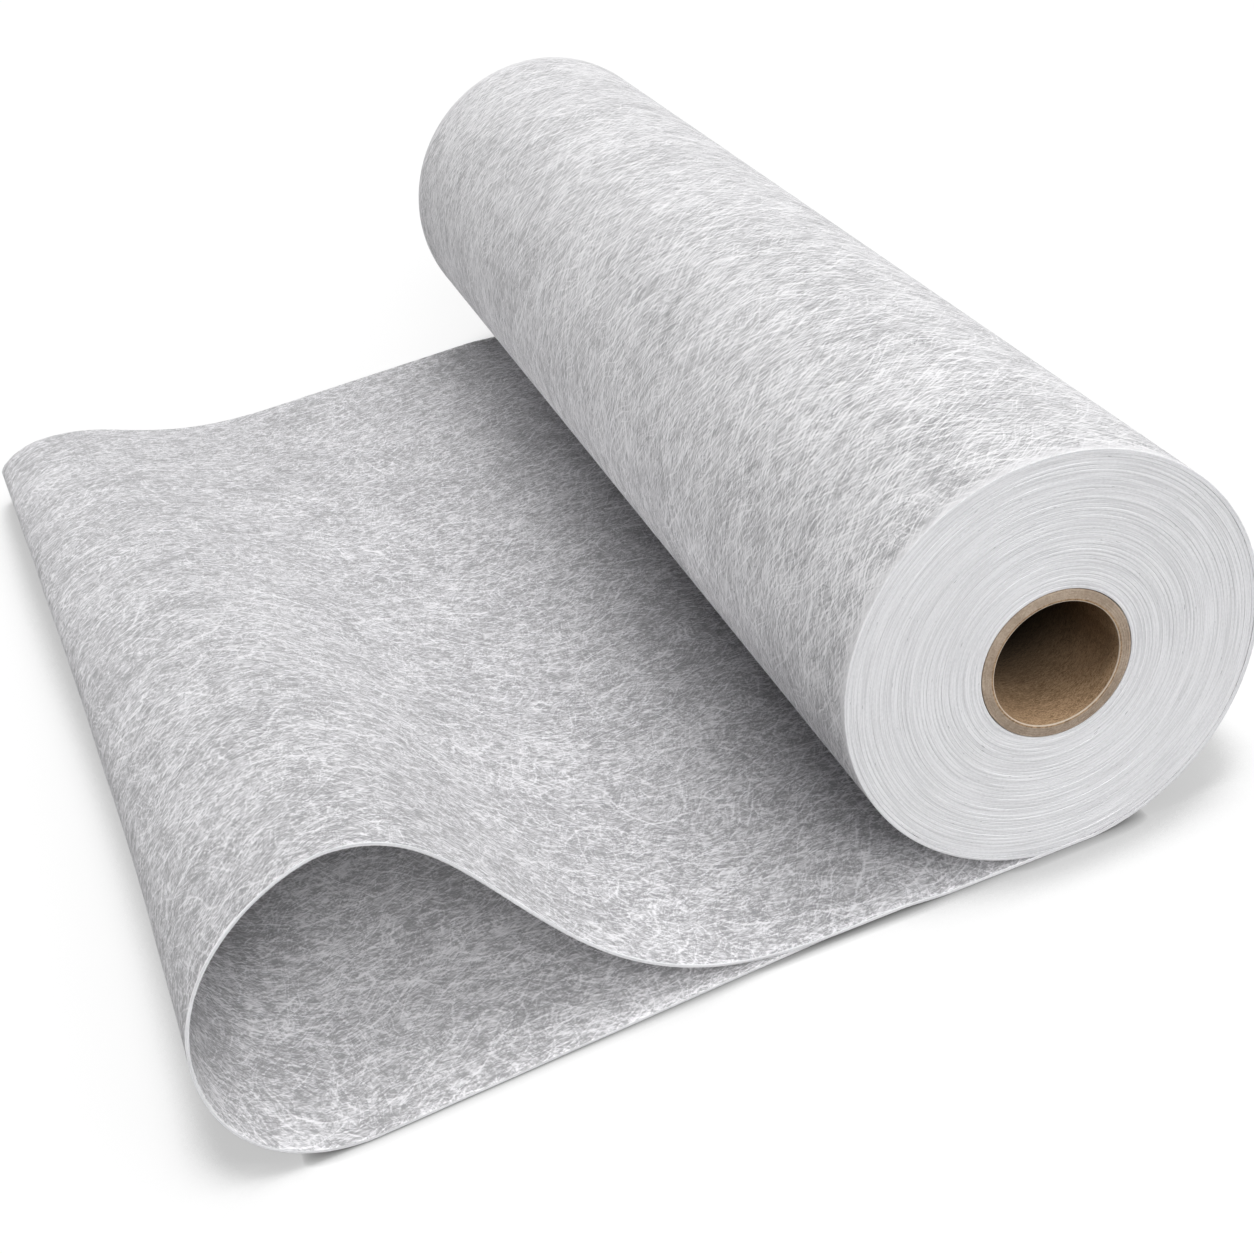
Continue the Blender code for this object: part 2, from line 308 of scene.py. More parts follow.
class LayerGroup(Shader):
    """A node group that draws one layer of strands as a mask, from a place on the web."""

    def __init__(self, name: str, bend_scale: float) -> None:
        """Make the group, and turn and scale its place and work out how far it bends.

        Args:
            name: the group's name.
            bend_scale: how close the bends follow each other.
        """
        super().__init__(bpy.data.node_groups.new(name, "ShaderNodeTree"))
        add = self.tree.interface.new_socket
        add(name="Place", in_out="INPUT", socket_type="NodeSocketVector")
        for label in LAYER_NUMBERS:
            add(name=label, in_out="INPUT", socket_type="NodeSocketFloat")
        add(name="Mask", in_out="OUTPUT", socket_type="NodeSocketFloat")
        self.got = self.tree.nodes.new("NodeGroupInput").outputs
        self.shift = self.join(self.got["Seed"], self.got["Seed"])
        turned = self.node("ShaderNodeVectorRotate", {
            "Vector": self.got["Place"], "Angle": self.got["Angle"]}, rotation_type="Z_AXIS")
        self.scaled = self.node("ShaderNodeVectorMath", {
            0: turned.outputs[0], "Scale": self.got["Per Metre"]}, operation="SCALE").outputs[0]
        bend = self.flat_noise(self.vector("ADD", self.scaled, self.shift), bend_scale, 1.0)
        self.sway = self.math("MULTIPLY", self.math("SUBTRACT", bend, 0.5), self.got["Sway"])

    def line(self, off: Socket) -> Socket:
        """Draw a line of the group's width, from the distance to its middle."""
        return self.math("SUBTRACT", 1.0, self.math("DIVIDE", off, self.got["Width"]), clamp=True)

    def breaks(self, value: Socket, fade: float) -> Socket:
        """Leave strands out where a noise is below the group's bareness."""
        return self.ramp(value, self.got["Bare"], self.math("ADD", self.got["Bare"], fade))

    def give(self, *factors: Socket) -> bpy.types.NodeTree:
        """Finish the group.

        Args:
            factors: the masks whose product is the group's own mask.

        Returns:
            The group.
        """
        mask = factors[0]
        for factor in factors[1:]:
            mask = self.math("MULTIPLY", mask, factor)
        self.fill(self.tree.nodes.new("NodeGroupOutput"), {"Mask": mask})
        return self.tree


def strand_group() -> bpy.types.NodeTree:
    """Fine strands: ridges where a stretched and curled noise crosses its middle value.

    Returns:
        The group. Its run is how far the strands are drawn out, and its sway their curl.
    """
    bend_scale, bare_scale, bare_fade = 0.16, 0.45, 0.16
    sh = LayerGroup("fibre_strands", bend_scale)
    curled = sh.vector("ADD", sh.scaled, sh.join(y=sh.sway))
    squeeze = sh.join(sh.math("DIVIDE", 1.0, sh.got["Run"]), 1.0, 1.0)
    place = sh.vector("ADD", sh.vector("MULTIPLY", curled, squeeze), sh.shift)
    off = sh.math("ABSOLUTE", sh.math("SUBTRACT", sh.flat_noise(place, 1.0, 1.0), 0.5))
    return sh.give(sh.line(off), sh.breaks(sh.flat_noise(place, bare_scale), bare_fade))


def fibre_group() -> bpy.types.NodeTree:
    """Single long fibres: rows of lines that wander and sway, each broken off at its own places.

    Returns:
        The group. Its run is the fibres' length in rows, and its sway how far they bend.
    """
    bend_scale, row_jump, wander, weakest = 0.07, 17.31, 1.2, 0.35
    break_scale, break_fade, break_shift = 0.8, 0.09, (31.7, 0.0, 0.0)
    sh = LayerGroup("single_fibres", bend_scale)
    across = sh.math("ADD", sh.math("ADD", sh.part(sh.scaled, "Y"), sh.sway), sh.got["Seed"])
    row = sh.math("FLOOR", across)
    spot = sh.join(sh.math("DIVIDE", sh.part(sh.scaled, "X"), sh.got["Run"]),
                   sh.math("MULTIPLY", row, row_jump))
    aside = sh.math("SUBTRACT", sh.flat_noise(spot, 1.0, 1.0), 0.5)
    centre = sh.math("ADD", sh.math("MULTIPLY", aside, wander), 0.5)
    off = sh.math("ABSOLUTE", sh.math("SUBTRACT", sh.math("SUBTRACT", across, row), centre))
    breaks = sh.flat_noise(sh.vector("ADD", spot, break_shift), break_scale)
    chance = sh.node("ShaderNodeTexWhiteNoise",
                     {"Vector": sh.join(row, sh.got["Seed"])}).outputs["Value"]
    strength = sh.math("ADD", sh.math("MULTIPLY", chance, 1.0 - weakest), weakest)
    return sh.give(sh.line(off), sh.breaks(breaks, break_fade), strength)


@dataclass(frozen=True)
class Layer:
    """One layer of fuzz or of single fibres in the fleece, dark where its weight is negative."""

    angle: float
    per_metre: float
    run: float
    sway: float
    width: float
    bare: float
    seed: float
    weight: float


def layers(*rows: tuple) -> tuple[Layer, ...]:
    """Make layers from rows of numbers in the order of Layer's fields."""
    return tuple(Layer(*row) for row in rows)


@dataclass(frozen=True)
class FleeceFinish:
    """White needled fleece: grey gaps under layers of curled white fibres."""

    name: str
    gap: Colour
    fibre: Colour
    fuzz: tuple[Layer, ...]
    fibres: tuple[Layer, ...]
    mottle_share: float
    lowest: float
    fleck_share: float = 0.30
    mottle_per_metre: float = 62.0
    fleck_per_metre: float = 560.0
    fleck_stretch: tuple[float, float, float] = (0.4, 1.0, 1.0)
    # A painted highlight along the web's two edges: its width, share and tone.
    edge_highlight_width: float = 0.0
    edge_highlight_share: float = 0.75
    edge_highlight_level: float = 0.78
    roughness: float = 0.92
    gloss: float = 0.15
    sheen: float = 0.15
    bump: float = 0.0003
    bump_strength: float = 0.14

    def make(self, strands: bpy.types.NodeTree, fibres: bpy.types.NodeTree) -> bpy.types.Material:
        """Build the material.

        Args:
            strands: the node group that draws one layer of fuzz.
            fibres: the node group that draws one layer of single fibres.

        Returns:
            The material, which reads the piece's web UV map in metres.
        """
        sh = Coat(self.name)
        place = sh.web_place()
        total = self.lowest
        for tree, rows in ((strands, self.fuzz), (fibres, self.fibres)):
            for layer in rows:
                inputs = {"Place": self.after(sh, place, total),
                          **dict(zip(LAYER_NUMBERS, astuple(layer)))}
                mask = sh.node("ShaderNodeGroup", inputs, node_tree=tree).outputs["Mask"]
                total = sh.math("ADD", total, sh.math("MULTIPLY", mask, layer.weight))
        there = self.after(sh, place, total)
        mottle = sh.noise(there, self.mottle_per_metre, 3.0, 0.62, 0.6)
        broad = sh.flat_noise(there, self.mottle_per_metre / 5, 1.0)
        cover = sh.math("ADD", sh.ramp(mottle, 0.30, 0.72, 0.0, self.mottle_share),
                        sh.ramp(broad, 0.3, 0.7, 0.0, self.mottle_share / 2))
        flecks = sh.noise(sh.vector("MULTIPLY", there, self.fleck_stretch), self.fleck_per_metre,
                          2.0, 0.6, 1.2)
        holes = sh.ramp(flecks, 0.30, 0.46, self.fleck_share, 0.0)
        height = sh.ramp(sh.math("SUBTRACT", sh.math("ADD", total, cover), holes), -0.1, 1.1)
        # Painted highlight: a pale band along both edges of the web, where the roll's rim catches
        # the light.
        if self.edge_highlight_width:
            edge = WEB.width / 2
            painted_edge_highlight = sh.ramp(sh.math("ABSOLUTE", sh.part(there, "Y")), edge - self.edge_highlight_width,
                              edge, 0.0, self.edge_highlight_share)
            height = sh.math("ADD", sh.math("MULTIPLY", height, sh.math("SUBTRACT", 1.0, painted_edge_highlight)),
                             sh.math("MULTIPLY", painted_edge_highlight, self.edge_highlight_level))
        return sh.finish({"Base Color": sh.mix(height, self.gap, self.fibre),
                          "Normal": sh.bump(height, self.bump, self.bump_strength),
                          "Roughness": self.roughness, "Sheen Weight": self.sheen,
                          "Specular IOR Level": self.gloss})

    @staticmethod
    def after(sh: Shader, place: Socket, total: object) -> Socket:
        """Tie a place to the sum so far, so that the renderer works out one layer at a time.

        Worked out side by side, this many layers overflow its memory for a shader.

        Args:
            sh: the material's nodes.
            place: the place on the web.
            total: the sum so far, or the number that it starts from.

        Returns:
            The same place.
        """
        too_small_to_see = 0.000000001
        if isinstance(total, float):
            return place
        return sh.vector("ADD", place, sh.math("MULTIPLY", total, too_small_to_see))


@dataclass(frozen=True)
class CutEdgeFinish:
    """The web's cut edge: pale ply ends in fine streaks along the web."""

    name: str = "cut_edge"
    pale: Colour = (0.81, 0.81, 0.828)
    dim: Colour = (0.65, 0.65, 0.667)
    dark: Colour = (0.38, 0.38, 0.39)
    streak_share: float = 0.66
    grain_share: float = 0.24
    turn_share: float = 0.10
    streak_scale: tuple[float, float] = (22.0, 1000.0)
    grain_scale: tuple[float, float] = (500.0, 1100.0)
    turn_scale: tuple[float, float] = (4.0, 60.0)
    dash_scale: tuple[float, float] = (170.0, 1100.0)
    roughness: float = 0.8
    gloss: float = 0.2

    def make(self) -> bpy.types.Material:
        """Build the material on the UV map: metres along the web and across its thickness.

        Returns:
            The material.
        """
        sh = Coat(self.name)
        place = sh.web_place()
        streak = sh.streaks(place, *self.streak_scale, 3.0, 0.55)
        grain = sh.streaks(place, *self.grain_scale)
        turn = sh.streaks(place, *self.turn_scale)
        dash = sh.streaks(place, *self.dash_scale, 1.0)
        tone = sh.math("ADD", sh.math("MULTIPLY", streak, self.streak_share),
                       sh.math("ADD", sh.math("MULTIPLY", grain, self.grain_share),
                               sh.math("MULTIPLY", turn, self.turn_share)))
        colour = sh.mix(sh.ramp(tone, 0.38, 0.60), self.dim, self.pale)
        colour = sh.mix(sh.ramp(dash, 0.73, 0.79), colour, self.dark)
        return sh.finish({"Base Color": colour, "Normal": sh.bump(tone, 0.0003, 0.35),
                          "Roughness": self.roughness, "Specular IOR Level": self.gloss})


@dataclass(frozen=True)
class FilmFinish:
    """White polyolefin film, a little glossy, with faint draw marks."""

    name: str = "film"
    colour: Colour = (0.80, 0.80, 0.82)
    mark_scale: tuple[float, float] = (12.0, 900.0)
    smoothest: float = 0.34
    roughest: float = 0.54

    def make(self) -> bpy.types.Material:
        """Build the material on the UV map.

        Returns:
            The material.
        """
        sh = Coat(self.name)
        marks = sh.streaks(sh.web_place(), *self.mark_scale)
        rough = sh.ramp(marks, 0.3, 0.7, self.smoothest, self.roughest)
        return sh.finish({"Base Color": (*self.colour, 1.0), "Roughness": rough})


@dataclass(frozen=True)
class KraftFinish:
    """Matt grey-brown core board with fibres and flecks, and painted shade darker down the bore.
    """

    name: str
    colour: Colour
    dark: Colour
    # The rim colour and its share paint a highlight at the cut ends.
    rim: Colour
    rim_highlight_share: float
    rim_reach: float = 1.0
    rim_depth: float = 0.0005
    bore_shade_share: float = 1.0
    bore_shade_from: float = 0.004
    bore_shade_to: float = 0.100
    cloud_share: float = 0.4
    clouds_per_metre: float = 34.0
    grain: float = 420.0
    grain_stretch: tuple[float, float, float] = (1.0, 2.4, 1.0)
    speck: float = 900.0
    speck_share: float = 0.35
    roughness: float = 0.88
    gloss: float = 0.2

    def make(self) -> bpy.types.Material:
        """Build the material on Object coordinates, grain round the core.

        Returns:
            The material.
        """
        sh = Coat(self.name)
        place = sh.object_place()
        fibres = sh.noise(sh.vector("MULTIPLY", place, self.grain_stretch), self.grain,
                          5.0, 0.68, 1.4)
        clouds = sh.noise(place, self.clouds_per_metre, 3.0, 0.6, 0.8)
        specks = sh.noise(place, self.speck, 1.0)
        tone = sh.math("ADD", sh.math("MULTIPLY", fibres, 1.0 - self.cloud_share),
                       sh.math("MULTIPLY", clouds, self.cloud_share))
        tone = sh.math("SUBTRACT", sh.ramp(tone, 0.34, 0.66),
                       sh.ramp(specks, 0.62, 0.74, 0.0, self.speck_share), clamp=True)
        colour = sh.mix(tone, self.dark, self.colour)
        from_middle = sh.math("ABSOLUTE", sh.part(place, "Y"))
        # Painted shade: the colour darkens with depth from the core's ends, down to the given
        # share in the middle of the bore.
        if self.bore_shade_share < 1.0:
            half = WEB.width / 2
            shade = sh.ramp(from_middle, half - self.bore_shade_to, half - self.bore_shade_from,
                            self.bore_shade_share, 1.0)
            colour = sh.vector("MULTIPLY", colour, sh.join(shade, shade, shade))
        # Painted highlight: the pale rim colour is mixed in at the cut ends, within rim_reach of
        # the axis, where the rounded rim catches the light.
        end = WEB.width / 2 - self.rim_depth
        painted_rim_highlight = sh.ramp(from_middle, end - self.rim_depth, end, 0.0, self.rim_highlight_share)
        off_axis = sh.vector("MULTIPLY", sh.vector("SUBTRACT", place, (0.0, 0.0, WEB.axis_height)),
                             (1.0, 0.0, 1.0))
        inside = sh.ramp(sh.vector("LENGTH", off_axis), self.rim_reach,
                         self.rim_reach + self.rim_depth / 2, 1.0, 0.0)
        colour = sh.mix(sh.math("MULTIPLY", painted_rim_highlight, inside), colour, self.rim)
        return sh.finish({"Base Color": colour, "Normal": sh.bump(tone, 0.0002, 0.5),
                          "Roughness": self.roughness, "Specular IOR Level": self.gloss})


@dataclass(frozen=True)
class TapeFinish:
    """Clear double-sided tape with trapped fibres."""

    name: str = "core_tape"
    colour: Colour = (0.78, 0.76, 0.68)
    dark_share: float = 0.8
    clouds_per_metre: float = 240.0
    roughness: float = 0.35

    def make(self) -> bpy.types.Material:
        """Build the material on Object coordinates.

        Returns:
            The material.
        """
        sh = Coat(self.name)
        clouds = sh.noise(sh.object_place(), self.clouds_per_metre, 3.0, 0.6)
        dark = tuple(self.dark_share * part for part in self.colour)
        return sh.finish({"Base Color": sh.mix(sh.ramp(clouds, 0.35, 0.65), dark, self.colour),
                          "Roughness": self.roughness})


ROLL_FUZZ = layers(
    (0.45, 700.0, 14.0, 2.0, 0.18, 0.0, 3.1, 0.16),
    (-0.45, 720.0, 14.0, 2.0, 0.18, 0.0, 17.7, 0.16),
    (-0.10, 640.0, 5.0, 3.0, 0.10, 0.24, 57.1, -0.32),
)
ROLL_FIBRES = layers(
    (0.40, 90.0, 7.0, 6.0, 0.10, 0.45, 4.3, 0.36),
    (-0.38, 95.0, 7.0, 6.0, 0.10, 0.45, 11.9, 0.36),
    (0.62, 105.0, 7.0, 6.0, 0.11, 0.45, 23.1, 0.32),
    (-0.60, 110.0, 7.0, 6.0, 0.11, 0.47, 37.7, 0.30),
    (0.45, 190.0, 8.0, 6.0, 0.16, 0.36, 66.1, 0.32),
    (-0.50, 200.0, 8.0, 6.0, 0.16, 0.36, 72.7, 0.32),
    (0.15, 230.0, 8.0, 6.0, 0.18, 0.36, 88.3, 0.30),
    (0.75, 260.0, 8.0, 7.0, 0.18, 0.40, 43.3, 0.30),
    (-0.80, 270.0, 8.0, 7.0, 0.18, 0.40, 59.9, 0.28),
    (0.30, 340.0, 9.0, 8.0, 0.22, 0.36, 29.3, 0.34),
    (-0.30, 360.0, 9.0, 8.0, 0.22, 0.36, 81.7, 0.34),
    (0.60, 380.0, 2.5, 8.0, 0.20, 0.49, 107.9, -0.36),
    (-0.55, 400.0, 2.5, 8.0, 0.20, 0.49, 98.5, -0.36),
)
SHEET_FUZZ = layers(
    (0.15, 420.0, 5.0, 3.6, 0.20, 0.0, 5.3, 0.22),
    (-0.70, 440.0, 5.0, 3.6, 0.22, 0.0, 19.9, 0.20),
    (0.10, 400.0, 4.5, 4.0, 0.12, 0.22, 103.1, -0.32),
    (1.15, 420.0, 3.5, 4.4, 0.12, 0.28, 47.3, -0.28),
)
SHEET_FIBRES = layers(
    (0.10, 110.0, 4.0, 10.0, 0.12, 0.44, 6.7, 0.40),
    (-0.50, 120.0, 4.0, 10.0, 0.12, 0.44, 13.3, 0.38),
    (0.65, 125.0, 4.0, 10.0, 0.13, 0.46, 27.1, 0.36),
    (0.30, 225.0, 3.5, 14.0, 0.19, 0.40, 31.9, 0.34),
    (-0.60, 235.0, 3.5, 14.0, 0.19, 0.40, 49.3, 0.34),
    (1.00, 250.0, 3.5, 14.0, 0.20, 0.42, 53.9, 0.30),
    (-1.20, 260.0, 3.5, 14.0, 0.20, 0.42, 92.9, 0.28),
    (0.00, 280.0, 4.0, 14.0, 0.22, 0.40, 79.7, 0.26),
)


class Finishes:
    """Every material of the part, each built once."""

    def __init__(self) -> None:
        """Build the two shared groups and the materials."""
        groups = strand_group(), fibre_group()
        self.outer = FleeceFinish(
            "outer_fleece_fibres", (0.295, 0.293, 0.305), (0.87, 0.864, 0.878), ROLL_FUZZ,
            ROLL_FIBRES, mottle_share=0.20, lowest=0.16, fleck_share=0.12,
            edge_highlight_width=0.012).make(*groups)
        self.underside = FleeceFinish(
            "outer_fleece_free", (0.37, 0.367, 0.379), (0.93, 0.922, 0.943), SHEET_FUZZ,
            SHEET_FIBRES, mottle_share=0.24, lowest=0.08).make(*groups)
        self.inner = FleeceFinish(
            "inner_fleece_fibres", (0.335, 0.332, 0.345), (0.875, 0.868, 0.89), SHEET_FUZZ,
            SHEET_FIBRES, mottle_share=0.20, lowest=0.10).make(*groups)
        self.cut_edge = CutEdgeFinish().make()
        self.ply_edge = CutEdgeFinish("ply_edge", dark=(0.60, 0.60, 0.617)).make()
        self.film = FilmFinish().make()
        self.tape = TapeFinish().make()
        self.board = KraftFinish("core_board", (0.46, 0.37, 0.29), (0.25, 0.19, 0.14),
                                 (0.52, 0.42, 0.33), 0.15).make()
        self.liner = KraftFinish("core_liner", (0.46, 0.31, 0.185), (0.17, 0.105, 0.055),
                                 (0.66, 0.58, 0.49), 0.75, rim_reach=0.0394, bore_shade_share=0.04,
                                 cloud_share=0.12).make()


@dataclass(frozen=True)
class FoldEdge:
    """One end of the fold, seen along the roll: sizes from the axis and above the floor.

    Its handles are shares of each stretch, from the rise over the crest to the floor.
    """

    rise: float
    reach: float
    reach_height: float
    crest_setback: float
    crest_height: float
    touch_setback: float
    handles: tuple[float, ...]

    @property
    def upper(self) -> float:
        """The height of the web's middle where it lies on its own lower layer."""
        return 3 * WEB.thickness / 2 + WEB.bond

    @property
    def touch(self) -> tuple[float, float]:
        """Where the web comes down on the floor."""
        return self.touch_setback - self.reach, WEB.thickness / 2

    def fold(self, count: int) -> np.ndarray:
        """The middle line from the rise over the crest to the floor.

        Args:
            count: points on each of its three stretches.

        Returns:
            Points as x and z.
        """
        half = WEB.thickness / 2
        a, b, c, d, e, f = self.handles
        rise = (-self.rise, self.upper)
        crest = (self.crest_setback - self.reach, self.crest_height - half)
        reach = (half - self.reach, self.reach_height)
        touch = self.touch
        up = bezier((rise, (rise[0] + a * (crest[0] - rise[0]), rise[1]),
                     (crest[0] - b * (crest[0] - rise[0]), crest[1]), crest), count)
        over = bezier((crest, (crest[0] + c * (reach[0] - crest[0]), crest[1]),
                       (reach[0], reach[1] - d * (reach[1] - crest[1])), reach), count)
        under = bezier((reach, (reach[0], reach[1] + e * (touch[1] - reach[1])),
                        (touch[0] - f * (touch[0] - reach[0]), touch[1]), touch), count)
        return np.vstack([up, over[1:], under[1:]])


def bezier(points: tuple, count: int) -> np.ndarray:
    """Points along one cubic curve.

    Args:
        points: its two ends and, between them, its two handles.
        count: how many points to make.

    Returns:
        The points as x and z.
    """
    a, b, c, d = (np.array(p) for p in points)
    u = np.linspace(0.0, 1.0, count)[:, None]
    return (1 - u) ** 3 * a + 3 * u * (1 - u) ** 2 * b + 3 * u * u * (1 - u) * c + u ** 3 * d


def lengths_along(line: np.ndarray) -> np.ndarray:
    """The distance along a line of points, at each of them."""
    steps = np.linalg.norm(np.diff(line, axis=0), axis=1)
    return np.concatenate([[0.0], np.cumsum(steps)])


def sampled(line: np.ndarray, values: np.ndarray, shares: np.ndarray) -> np.ndarray:
    """Values along a line of points, read at shares of its length."""
    along = lengths_along(line)
    return np.stack([np.interp(shares, along / along[-1], values[:, k]) for k in range(2)], axis=1)


@dataclass
class Surface:
    """The free web's middle surface, as arrays over its stations and the strips across it.

    The angles are those of its last turn on the roll. The lengths u along it and the places v
    across it are in metres, and share is v from 0 to 1. Towards the nip the outer skin is no
    deeper than lowest, and on the roll the inner skin stands out by the lining.
    """

    points: np.ndarray
    side: np.ndarray
    angles: np.ndarray
    u: np.ndarray
    v: np.ndarray
    share: np.ndarray
    lowest: np.ndarray
    lining: np.ndarray


@dataclass
class FreeWeb:
    """The web's last turn on the roll, its run on the floor and the fold of its free end."""

    near: FoldEdge = FoldEdge(0.1612, 0.5147, 0.0753, 0.1009, 0.1809, 0.0749,
                              (0.68, 0.38, 0.27, 0.70, 0.53, 0.69))
    far: FoldEdge = FoldEdge(0.3200, 0.5785, 0.0270, 0.0423, 0.0479, 0.0339,
                             (0.58, 0.33, 0.40, 0.50, 0.50, 0.50))
    tail_from_axis: float = 0.140
    climb_run: float = 0.035
    climb_clearance: float = 0.002
    skew_at_touch: float = 0.013
    skew_at_tail: float = -0.004
    outline_points: int = 160
    turn_steps: int = 220
    free_stations: int = 300
    strips: int = 56
    rim_strips: int = 2
    edge_rounding: float = 0.00028
    edge_wander: float = 0.00012
    edge_wave: float = 0.028
    edge_wander_reach: float = 0.01
    edge_strip: float = 0.004
    ripple: float = 0.0009
    ripple_waves: tuple[float, float] = (0.17, 0.30)
    ripple_fine: float = 0.08
    ripple_fine_share: float = 0.5
    ripple_from: float = 0.008
    ripple_over: float = 0.06
    nip_start: float = math.radians(-4.0)
    nip_clearance: float = 0.0001
    lining: float = 0.0005
    lining_end: float = math.radians(-357.0)
    lining_fade: float = math.radians(10.0)
    surface: Surface | None = None

    def outline(self, edge: FoldEdge, start: float, climb_end: float, end: float) -> np.ndarray:
        """The whole middle line of one end, from the roll's rest to the end of the tail.

        Args:
            edge: that end's fold.
            start: x where the web leaves the roll.
            climb_end: x where it has climbed on its own lower layer.
            end: x of the tail's end.

        Returns:
            Points as x and z.
        """
        half = WEB.thickness / 2
        share = np.linspace(0.0, 1.0, self.outline_points)
        climb = np.stack([climb_end + self.climb_run * (1 - share),
                          half + (edge.upper - half) * (1 - np.cos(math.pi * share)) / 2], axis=1)
        floor = np.linspace((start, half), climb[0], self.outline_points)
        over = np.linspace(climb[-1], (-edge.rise, edge.upper), self.outline_points)
        back = np.linspace(edge.touch, (end, half), self.outline_points)
        fold = edge.fold(self.outline_points)
        return np.vstack([floor, climb[1:], over[1:], fold[1:], back[1:]])

    def free_stretch(self, start: float) -> tuple[np.ndarray, ...]:
        """Middle points of both ends, at equal lengths along the web.

        Args:
            start: x where the web leaves the roll.

        Returns:
            The near and far points, their normals, the lengths from the roll, and how far the
            web is skewed there.
        """
        folds = [edge.rise + lengths_along(edge.fold(self.outline_points))[-1]
                 for edge in (self.near, self.far)]
        near_end = -self.tail_from_axis
        far_end = near_end - (folds[1] - folds[0]) + (self.far.touch[0] - self.near.touch[0])
        climb_end = max(near_end, far_end) + self.climb_clearance
        lines = [self.outline(self.near, start, climb_end, near_end),
                 self.outline(self.far, start, climb_end, far_end)]
        length = float(np.mean([lengths_along(line)[-1] for line in lines]))
        shares = np.linspace(0.0, 1.0, self.free_stations)
        points = np.stack([sampled(line, line, shares) for line in lines], axis=1)
        runs = [np.gradient(line, axis=0) for line in lines]
        sides = [np.stack([run[:, 1], -run[:, 0]], axis=1) /
                 np.linalg.norm(run, axis=1)[:, None] for run in runs]
        normals = np.stack([sampled(line, side, shares)
                            for line, side in zip(lines, sides)], axis=1)
        crest = lengths_along(lines[0])[int(np.argmax(lines[0][:, 1]))]
        touch = length - (near_end - self.near.touch[0])
        skew = np.interp(shares * length, (0.0, crest, touch, length),
                         (0.0, 0.0, self.skew_at_touch, self.skew_at_tail))
        return points, normals, shares * length, skew

    def lay_out(self) -> None:
        """Work out the middle surface: points, normals and UVs on stations and strips."""
        middle = WEB.middle_radius
        flat = math.acos((WEB.axis_height - WEB.thickness / 2) / middle)
        angles = np.linspace(self.nip_start, flat - 2 * math.pi, self.turn_steps + 1)[:-1]
        points, normals, along, skew = self.free_stretch(middle * math.sin(flat))
        share = self.column_shares()
        across = np.zeros((1, len(share), 1))
        turn = np.stack(rolled(middle, angles), axis=-1)[:, None] + across
        turn_side = np.stack([-np.sin(angles), np.cos(angles)], axis=-1)[:, None] + across
        blend = share[None, :, None]
        free = points[:, :1] * (1 - blend) + points[:, 1:] * blend
        side = normals[:, :1] * (1 - blend) + normals[:, 1:] * blend
        side /= np.linalg.norm(side, axis=-1)[..., None]
        u = np.concatenate([(angles - angles[-1]) * -middle, along])
        u[:len(angles)] -= u[len(angles) - 1] + middle * (angles[-2] - angles[-1])
        skew = np.concatenate([np.zeros(len(angles)), skew])
        y = (share[None, :] - 0.5) * WEB.width - skew[:, None]
        xz = np.concatenate([turn, free])
        lowest, lining = self.seat(angles, len(u))
        self.surface = Surface(np.stack([xz[..., 0], y, xz[..., 1]], axis=-1),
                               np.concatenate([turn_side, side]), angles, u,
                               (share - 0.5) * WEB.width, share, lowest, lining)
        self.ruffle()

    def seat(self, angles: np.ndarray, stations: int) -> tuple[np.ndarray, np.ndarray]:
        """Work out how the last turn fills the nip and how it lies against the wound turns.

        Args:
            angles: the turn's stations, from the nip over the top to the floor.
            stations: how many stations the whole web has.

        Returns:
            The lowest depth of the outer skin, and how far the inner skin stands out.
        """
        half, middle = WEB.thickness / 2, WEB.middle_radius
        under = WEB.axis_height - WEB.thickness - self.nip_clearance
        lowest = np.full(stations, -half)
        in_nip = np.cos(angles) > under / WEB.roll_radius
        in_nip &= angles > -math.pi
        lowest[:len(angles)][in_nip] = middle - under / np.cos(angles[in_nip])
        lining = np.zeros(stations)
        lining[:len(angles)] = self.lining * np.clip(
            (angles - self.lining_end) / self.lining_fade, 0.0, 1.0)
        return lowest, lining

    def seated(self, skin: np.ndarray) -> np.ndarray:
        """Squeeze a skin's depths where the last turn starts in the nip.

        Args:
            skin: depths about the web's middle, for each station and strip.

        Returns:
            The depths after the squeeze.
        """
        half = WEB.thickness / 2
        top = (half + self.surface.lining)[:, None]
        share = (top - self.surface.lowest[:, None]) / (top + half)
        return top - (top - skin) * share

    def column_shares(self) -> np.ndarray:
        """Where the strips lie across the web, with narrow ones at each edge.

        Returns:
            The strips' sides as shares of the web's width.
        """
        narrow = np.array([0.0, self.edge_rounding / 3, self.edge_rounding,
                           self.edge_strip]) / WEB.width
        inner = np.linspace(narrow[-1], 1 - narrow[-1], self.strips)
        return np.concatenate([narrow[:-1], inner, 1 - narrow[-2::-1]])

    def ruffle(self) -> None:
        """Give the raised part soft ripples and both cut edges a slight wander."""
        points, side = self.surface.points, self.surface.side
        place = np.stack([self.surface.u[:, None] + 0 * points[..., 1],
                          points[..., 1]], axis=-1)
        raised = np.clip((points[..., 2] - self.ripple_from) / self.ripple_over, 0.0, 1.0)
        raised[:len(self.surface.angles)] = 0.0
        waves = smooth_noise(place / self.ripple_waves, 7.7)
        waves += self.ripple_fine_share * smooth_noise(place / self.ripple_fine, 3.3)
        lift = self.ripple * raised * waves
        points[..., 0] += lift * side[..., 0]
        points[..., 2] += lift * side[..., 1]
        for seed, edge in ((1.9, 0), (8.3, -1)):
            along = np.stack([self.surface.u / self.edge_wave, 0 * self.surface.u], axis=-1)
            wander = self.edge_wander * smooth_noise(along, seed)
            from_edge = np.abs(self.surface.v - self.surface.v[edge])
            nearness = np.exp(-from_edge / self.edge_wander_reach)
            points[..., 1] += wander[:, None] * nearness[None, :]

